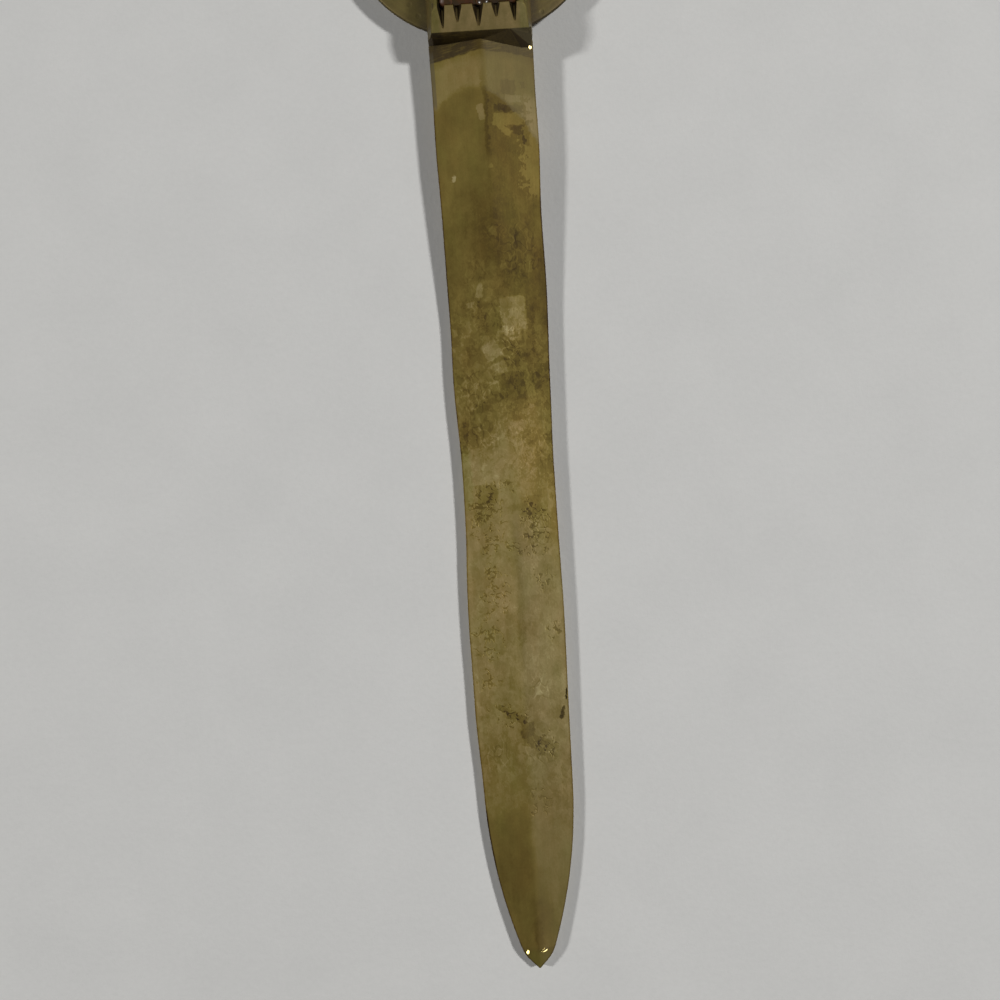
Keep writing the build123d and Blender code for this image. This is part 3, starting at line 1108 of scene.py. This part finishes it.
def make_blade_finish():
    """Hand-worn brass: tarnish that changes along the blade, with rubbed, stained and pitted marks, and
    painted shade below the collar, along the ridge and on the right half.
    """
    finish = Finish("blade_brass", BRASS_METAL)
    x = finish.x
    y = finish.y
    between = finish.between
    within = finish.within
    noise = finish.noise
    patches = finish.patches
    upper = between(finish.z, 0.9, 1.5)
    from_edge = finish.attribute("from_edge")
    wide_ragged = finish.ragged(1.8, 3.0)
    ragged = finish.ragged(0.9, 0.5, wide_ragged)
    ragged_x, ragged_y, _ = finish.split(ragged)
    # The tarnish's edge below the collar is arched
    arched_y = ragged_y + finish.math("POWER", ragged_x + 2.0, 2.0) * 0.09
    along = (ROOT_Y - arched_y) * (1 / BLADE_LENGTH)
    clouds = noise((2.6, 4.5, 3.0), 3.0, 0.6)
    streaks = noise((0.4, 8.0, 4.0), 3.0, 0.6)
    grain = noise((0.22, 0.35, 0.3), 2.0, 0.6)
    # Flaked tarnish, in small flakes and in larger plates
    flake_zone = finish.level(along, FLAKES_ALONG)
    flakes = between(noise((1.1, 1.5, 1.4), 5.0, 0.7), -0.01, 0.03)
    plates = finish.steps(1.7, finish.ragged(1.6, 1.0))
    # Pale scratches and dark creases
    scratch_zone = finish.level(along, SCRATCHES_ALONG)
    scuffed = finish.most(scratch_zone, patches(SCUFFED, wide_ragged, 0.4)) * upper
    one_way = between(noise((0.3, 2.4, 2.0), 1.0, 0.5, 32), 0.16, 0.22)
    other_way = between(noise((0.3, 2.0, 2.0), 1.0, 0.5, -48, (5.0, 2.0, 0.0)), 0.16, 0.22)
    scratches = finish.most(one_way, other_way, finish.curls(2.0, 0.035)) * scuffed
    creases = finish.curls(1.7, 0.04, (9.0, 4.0, 0.0)) * scuffed
    # Rubbed, stained and broadly lighter or darker areas
    rubbed_areas = patches(RUBBED, finish.ragged(1.1, 0.6), 0.08, True)
    rubbed = finish.most(rubbed_areas, patches(RUBBED_SPECKS, ragged, 0.25)) * upper
    stained = patches(STAINED, finish.ragged(1.3, 0.9), 0.12, True) * upper
    broad = patches(BROAD_LIGHT, ragged, 0.4) - patches(BROAD_DARK, ragged, 0.5)
    # Pits in clumps, some of them drawn out like worms
    clumps = between(noise((1.3, 1.5, 1.4), 3.0, 0.6, 0.0, (1.0, 8.0, 3.0)), -0.12, 0.1)
    pit_zone = patches(PITTED, wide_ragged, 0.6) * clumps
    pits = finish.most(finish.specks(0.8, pit_zone), finish.specks(0.42, pit_zone, (4.0, 9.0, 2.0)))
    worms = finish.curls(1.0, 0.05, (2.0, 5.0, 7.0)) * between(pit_zone, 0.25, 0.5)
    pits = finish.most(pits, worms) * between(pit_zone, 0.0, 0.15) * upper
    # Darker over the nicks: stain, with painted shade in the dents
    nicked = patches(marks_over(NICKS, 1.2), finish.ragged(0.3, 0.2), 0.2) * upper
    # Paler and smoother over the raised marks: polish, with a painted highlight that whitens their
    # glints
    polished = patches(marks_over([mark[:3] for mark in RAISED], 1.1), finish.place, 0.2)
    # A jagged rubbed strip along the right edge near the root
    strip_reach = noise((1.0, 2.2, 2.0), 5.0, 0.7) * 6.0 + 1.5
    strip_reach += finish.steps(0.7, finish.ragged(0.5, 0.5, wide_ragged)) * 1.4
    strip_reach += within(y, *WIDE_STRIP_SPAN, 1.0) * 1.2
    strip = between(strip_reach - from_edge, -0.05, 0.1) * between(x, 1.0, 3.0)
    strip *= within(y, *STRIP_SPAN, 1.2) * upper
    # Along both edges a dark line, and just inside it a paler band
    dark_edge = between(from_edge, 0.28, 0.1) * between(y, -24.0, -30.0)
    pale_edge = within(from_edge, 0.3, 0.9, 0.2) * within(y, *PALE_EDGE_SPAN, 5.0) * upper
    # On the left a dull bevel below the collar, and painted shade of the edge's side face above the
    # point
    on_left = between(x, 0.0, -2.0)
    left_bevel = between(from_edge, 0.75, 0.6) * on_left * within(y, *LEFT_BEVEL_SPAN, 0.8)
    edge_side_shade = between(from_edge, 0.34, 0.14) * on_left * within(y, *EDGE_SIDE_SHADE_SPAN, 1.5)
    # Painted shade along the ridge near the root
    ridge_shade_line = between(abs(ragged_x - 0.2), 0.5, 0.2) * within(y, *RIDGE_SHADE_SPAN, 1.5)
    # Dirt and painted shade below the collar, scraped in places and blackest on the left, where its grey
    # is a painted reflection of the collar's dark wall
    above_end = y - (noise((1.4, 0.8, 1.0), 3.0, 0.6) * 1.1 - abs(x) * GRIME_AND_SHADE_SLANT + GRIME_AND_SHADE_END)
    grime_and_shade = between(above_end, -0.2, 0.2)
    faint_grime_and_shade = between(above_end, -1.6, 0.0)
    left_grime_and_shade = grime_and_shade * between(x, 1.0, -2.0)
    scrapes = between(noise((2.4, 0.28, 2.0), 3.0, 0.6, 10), 0.0, 0.16)
    tone = (
        finish.level(along, TONE_ALONG, -1.0, 1.0)
        # painted shade on the right half, painted light near its tip
        + finish.level(along, RIGHT_SHADE_ALONG, -1.0, 1.0) * between(x, -0.5, 0.8)
        + clouds * 0.45
        + streaks * 0.22
        + grain * 0.25
        + (flakes - 0.5) * flake_zone
        + plates * flake_zone * 1.2
        + scratches * 0.36
        - creases * 0.36
        + rubbed * 0.6
        - stained * 0.5
        + broad * 0.35
        - pits * 0.64
        - nicked * 0.8
        + polished * 0.35
        + strip * 0.4
        - dark_edge * 0.55
        + pale_edge * 0.12
        - edge_side_shade * 0.6
        - ridge_shade_line * 0.25
        - grime_and_shade * 0.45
        - faint_grime_and_shade * 0.2
        - left_grime_and_shade * 0.5
        + grime_and_shade * scrapes * 0.3
    )
    warmth = (
        noise((3.5, 7.0, 5.0), 2.0, 0.5, 0.0, (11.0, 4.0, 0.0)) * 0.6
        + patches(WARMER_AREAS, ragged) * 0.14
        - patches(GREENER_AREAS, ragged) * 0.22
        + dark_edge * 0.15
    )
    # The right half is greyer next to the collar and past the middle
    greyed = between(along, 0.48, 0.55) * 0.22 + between(along, 0.056, 0.05) * 0.4
    greyed *= between(x, -0.5, 1.0)
    dull = finish.most(left_grime_and_shade * 0.15, left_bevel * 0.6, greyed)
    roughness = clouds * 0.15 - rubbed * 0.04 + stained * 0.05 + pits * 0.15 + 0.49
    roughness += nicked * 0.35 - polished * 0.22
    height = (
        flakes * flake_zone * 0.015
        + scratches * 0.006
        - creases * 0.006
        - pits * 0.02
        + grain * 0.005
        + streaks * 0.006
        + clouds * 0.015
    )
    return finish.done(brass_colour(finish, tone, warmth, dull), roughness, height)


# The solder at the setting's right front corner is clean above a slanting line: its factors of X and Z
# and its offset
SOLDER_LINE = (0.67, 0.742, 8.3)
# How far out, how far in and how low the painted shade in the file cuts reaches
CUT_SHADE_SIDE = 7.2
CUT_SHADE_INNER = 17.4
CUT_SHADE_FOOT = 6.5


def make_setting_finish():
    """Brass rubbed paler on its teeth, with painted light on faces that point up, dirt and painted shade
    on the end walls, and painted shade in the file cuts, around the stone and on rounded edges.
    """
    finish = Finish("setting_brass", BRASS_METAL)
    between = finish.between
    noise = finish.noise
    normal_x, normal_y, normal_z = finish.normal()
    sideways = abs(normal_x)
    across = abs(finish.x)
    along = abs(finish.y)
    clouds = noise((1.6, 2.0, 1.6), 3.0, 0.6)
    grain = noise(0.2, 2.0, 0.6)
    drag = noise((0.25, 3.0, 1.0), 3.0, 0.6)
    scrapes = between(noise((2.4, 0.5, 0.4), 3.0, 0.6), 0.0, 0.2) * between(finish.x, 1.0, -2.0)
    on_band = between(along, TOOTH_TOP_Y - 0.6, TOOTH_TOP_Y)
    on_band *= between(finish.z, BAND_FOOT - 0.3, BAND_FOOT)
    end_wall = between(abs(normal_y), 0.55, 0.75)
    end_wall *= between(along, SETTING_END - 1.0, SETTING_END - 0.6)
    line_x, line_z, line_offset = SOLDER_LINE
    above_line = finish.x * line_x + finish.z * line_z - line_offset
    solder = end_wall * between(above_line, -0.1, 0.15) * between(finish.y, 0.0, -1.0)
    # Dirt and painted shade on the end walls, except on the solder
    grime_and_shade = end_wall * (1.0 - solder)
    # Depth below the band's slope, from its top edge to its foot
    band_fall = (SETTING_HEIGHT - BAND_FOOT) / (SETTING_END - WALL_LEAN - TOOTH_TOP_Y)
    band_height = SETTING_HEIGHT - (along - TOOTH_TOP_Y) * band_fall
    below_band = finish.math("MINIMUM", band_height, SETTING_HEIGHT) - finish.z
    # Painted shade in the file cuts, darker where they are deeper
    cut_shade = between(below_band, 0.01, 0.12) * (1.0 - end_wall)
    cut_shade *= between(across, CUT_SHADE_SIDE, CUT_SHADE_SIDE - 0.2)
    cut_shade *= between(along, CUT_SHADE_INNER, CUT_SHADE_INNER + 0.2)
    cut_shade *= between(finish.z, CUT_SHADE_FOOT, CUT_SHADE_FOOT + 0.3)
    # Painted shade in the gap around the stone
    pocket = between(across, POCKET_HALF_WIDTH + 0.3, POCKET_HALF_WIDTH + 0.1)
    pocket *= between(along, POCKET_HALF_LENGTH + 0.1, POCKET_HALF_LENGTH - 0.2)
    # Painted light: faces that point up are paler, the teeth's tops most, partly rubbed wear
    painted_top_light = between(normal_z, 0.5, 0.95)
    # Painted shade on the rounded edges, which are also rougher, to dull their lamp highlights
    rounded = finish.within(sideways, 0.12, 0.72, 0.06)
    on_rails = between(across, 5.9, 6.5) * between(finish.z, 6.4, 7.0)
    on_sides = between(sideways, 0.75, 0.9)
    lines = noise((1.0, 5.0, 0.18), 3.0, 0.6)
    # The sides are darker towards their foot
    darker_low_on_sides = between(finish.z + clouds * 4.0, 5.4, 3.2)
    left_corner = between(finish.x, -5.6, -6.4)
    tone = (
        clouds * 0.6
        + grain * 0.35
        + drag * 0.25
        + painted_top_light * 0.08
        + on_band * painted_top_light * 0.28
        - rounded * 0.5
        - grime_and_shade * 0.8
        + grime_and_shade * scrapes * 0.4
        - left_corner * 0.22
        + on_sides * lines * 0.7
        - on_sides * darker_low_on_sides * 0.4
        - cut_shade
        - pocket * 0.5
    )
    warmth = clouds * 0.4 + on_band * 0.08 - on_rails * 0.3
    roughness = clouds * 0.2 + end_wall * 0.15 + rounded * 0.35 + 0.4
    height = clouds * 0.03 + grain * 0.008 + drag * 0.012
    dull = finish.most(solder * 0.75, 0.22)
    return finish.done(brass_colour(finish, tone, warmth, dull), roughness, height)


def make_handle_finish():
    """Duller brass with faint turning rings, cloudy tarnish, and painted shade on the rim and beside the
    strap.
    """
    finish = Finish("handle_brass", BRASS_METAL)
    between = finish.between
    radius = finish.vector("LENGTH", finish.vector("MULTIPLY", finish.place, (1.0, 1.0, 0.0)))
    clouds = finish.noise(3.5, 4.0, 0.6)
    grain = finish.noise(0.25, 2.0, 0.6)
    by_radius = finish.new_node("CombineXYZ", {0: radius}).outputs[0]
    rings = finish.noise((0.35, 1.0, 1.0), 2.0, 0.6, place=by_radius)
    # Painted shade on the rim, which dulls its lamp highlight
    rim_shade = between(radius, DISC_RADIUS - 1.2, DISC_RADIUS - 0.2)
    strap_side = ROOT_WIDTH / 2
    # Painted shade on the disc next to the strap
    shade_beside_strap = between(abs(finish.x), strap_side + 1.95, strap_side + 0.15)
    shade_beside_strap *= between(finish.z, 2.0, 3.0)
    paler_left = between(finish.x, 3.0, -3.0)
    spots = finish.pits(1.6, 0.5, 0.3)
    tone = (
        clouds * 0.7
        + grain * 0.35
        + rings * 0.25
        - rim_shade * 0.15
        - shade_beside_strap * 0.3
        + paler_left * 0.2
        - spots * 0.08
        - 0.62
    )
    warmth = finish.noise(6.0, 2.0) - 0.08
    roughness = clouds * 0.25 + 0.5
    height = rings * 0.012 + clouds * 0.04 + grain * 0.006 - spots * 0.02
    return finish.done(brass_colour(finish, tone, warmth, 0.3), roughness, height)


def make_rivet_finish():
    """Brighter brass with hammer dimples."""
    finish = Finish("rivet_brass", BRASS_METAL)
    clouds = finish.noise(0.9, 3.0, 0.6)
    grain = finish.noise(0.15, 2.0, 0.6)
    dimples = finish.pits(0.9, 0.55, 1.0)
    tone = clouds * 0.7 + grain * 0.4 - dimples * 0.12 + 0.1
    roughness = clouds * 0.25 + 0.36
    height = grain * 0.01 - dimples * 0.05
    return finish.done(brass_colour(finish, tone, clouds * 0.5), roughness, height)


STONE_COLOURS = ((0.25, (34, 24, 8)), (0.5, (58, 40, 14)), (0.62, (72, 40, 17)), (0.8, (44, 30, 10)))
VEIN_COLOUR = (112, 70, 48)
FLECK_COLOUR = (22, 9, 7)


def make_stone_finish():
    """Dark red-brown stone, polished, with soft bands, dark flecks and a few paler veins."""
    finish = Finish("dark_stone")
    drifted = finish.ragged(5.0, 6.0)
    bands = finish.noise((2.0, 9.0, 3.0), 3.0, 0.55, 24, place=drifted)
    from_vein = abs(finish.noise((4.0, 7.0, 4.0), 3.0, 0.6, -30, (3.0, 8.0, 0.0), drifted))
    vein = finish.between(from_vein, 0.02, 0.0)
    flecks = finish.pits(1.1, 0.16, 0.4)
    colour = finish.stops(bands + 0.5, [(stop, display_colour(*shade)) for stop, shade in STONE_COLOURS])
    colour = finish.mix(vein * 0.45, colour, display_colour(*VEIN_COLOUR))
    colour = finish.mix(flecks * 0.6, colour, display_colour(*FLECK_COLOUR))
    ground_edge = finish.between(abs(finish.x), stone_high.x - 1.1, stone_high.x - 0.6)
    chip_place, (chip_radius, _, _) = CHIP
    from_chip = finish.vector("LENGTH", finish.vector("SUBTRACT", finish.place, chip_place))
    chipped = finish.between(from_chip, chip_radius + 0.25, chip_radius + 0.05)
    smears = finish.noise(0.6, 3.0)
    roughness = chipped * 0.14 + smears * 0.1 + vein * 0.08 + ground_edge * 0.35 + 0.1
    finish.shader.inputs["IOR"].default_value = 1.54
    finish.shader.inputs["Specular IOR Level"].default_value = 0.3
    return finish.done(colour, roughness, finish.noise(1.5, 2.0) * 0.01)


def make_card_finish():
    """Grey-brown card with short fibres."""
    finish = Finish("card")
    one_way = finish.noise((0.12, 1.4, 0.4), 2.0, 0.5, 20)
    other_way = finish.noise((0.12, 1.4, 0.4), 2.0, 0.5, -55, (4.0, 1.0, 0.0))
    fibres = finish.most(one_way, other_way)
    clouds = finish.noise(3.0, 3.0)
    shades = [(0.2, display_colour(104, 88, 68)), (0.8, display_colour(150, 132, 106))]
    colour = finish.stops(fibres * 0.8 + clouds + 0.4, shades)
    return finish.done(colour, 0.9, fibres * 0.05)


def make_paper_finish():
    """Pale grey paper, faintly mottled."""
    finish = Finish("paper")
    clouds = finish.noise(14.0, 4.0, 0.6)
    tooth = finish.noise(0.9, 3.0, 0.6)
    shades = [(0.2, (0.565, 0.562, 0.545, 1.0)), (0.8, (0.63, 0.625, 0.605, 1.0))]
    colour = finish.stops(clouds * 0.6 + tooth * 0.4 + 0.5, shades)
    return finish.done(colour, 0.9, tooth * 0.05)


make_blade(make_blade_finish())
handle_finish = make_handle_finish()
make_disc(handle_finish)
make_setting(make_setting_finish())
make_stone(make_stone_finish())
make_softened("back_plate", "back_plate_sheet", handle_finish, 0.15)
rivet_finish = make_rivet_finish()
for rivet in ("lower_rivet", "upper_rivet"):
    make_softened(rivet, rivet + "_head", rivet_finish, 0.12)
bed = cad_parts["stone_bed"]
bed.data.materials.clear()
bed.data.materials.append(make_card_finish())


# Stage, camera and light

bpy.ops.object.select_all(action="DESELECT")
bpy.ops.mesh.primitive_plane_add(size=1.4)
floor = bpy.context.object
floor.name = "floor"
floor.data.materials.append(make_paper_finish())

camera = bpy.data.objects.new("camera", bpy.data.cameras.new("camera"))
bpy.context.scene.collection.objects.link(camera)
camera.data.lens = 36
camera.data.sensor_width = 36
camera.data.clip_start = 0.01
camera.location = CAMERA_PLACE * MM
camera.rotation_euler = (radians(CAMERA_TILT), 0, radians(CAMERA_TURN))
bpy.context.scene.camera = camera


def add_lamp(name):
    """A small square lamp beside the blade."""
    lamp = bpy.data.lights.new(name, "AREA")
    lamp.energy = LAMPS[name][1]
    lamp.size = 0.12
    holder = bpy.data.objects.new(name, lamp)
    bpy.context.scene.collection.objects.link(holder)
    place = lamp_place(name)
    holder.location = place * MM
    holder.rotation_euler = (LAMP_AIM - place).to_track_quat("-Z", "Y").to_euler()


for lamp_name in LAMPS:
    add_lamp(lamp_name)


def make_room():
    """A dim room for the lamps' shadows that still shows pale to the camera and in reflections."""
    world = bpy.data.worlds.new("room")
    bpy.context.scene.world = world
    world.use_nodes = True
    nodes = world.node_tree.nodes
    links = world.node_tree.links
    direction = nodes.new("ShaderNodeTexCoord").outputs["Generated"]
    split = nodes.new("ShaderNodeSeparateXYZ")
    links.new(direction, split.inputs[0])
    sky = nodes.new("ShaderNodeValToRGB")
    sky.color_ramp.elements[0].color = (0.52, 0.52, 0.51, 1.0)
    sky.color_ramp.elements[1].color = (0.32, 0.32, 0.32, 1.0)
    links.new(split.outputs[2], sky.inputs[0])
    rays = nodes.new("ShaderNodeLightPath")
    seen = rays.outputs["Is Camera Ray"]
    for kind in ("Is Glossy Ray", "Is Transmission Ray"):
        either = nodes.new("ShaderNodeMath")
        either.operation = "MAXIMUM"
        links.new(seen, either.inputs[0])
        links.new(rays.outputs[kind], either.inputs[1])
        seen = either.outputs[0]
    choose = nodes.new("ShaderNodeMix")
    choose.data_type = "RGBA"
    choose.inputs[6].default_value = (0.002, 0.002, 0.002, 1.0)
    links.new(seen, choose.inputs[0])
    links.new(sky.outputs[0], choose.inputs[7])
    links.new(choose.outputs[2], nodes["Background"].inputs["Color"])


make_room()
bpy.context.scene.view_settings.view_transform = "Standard"
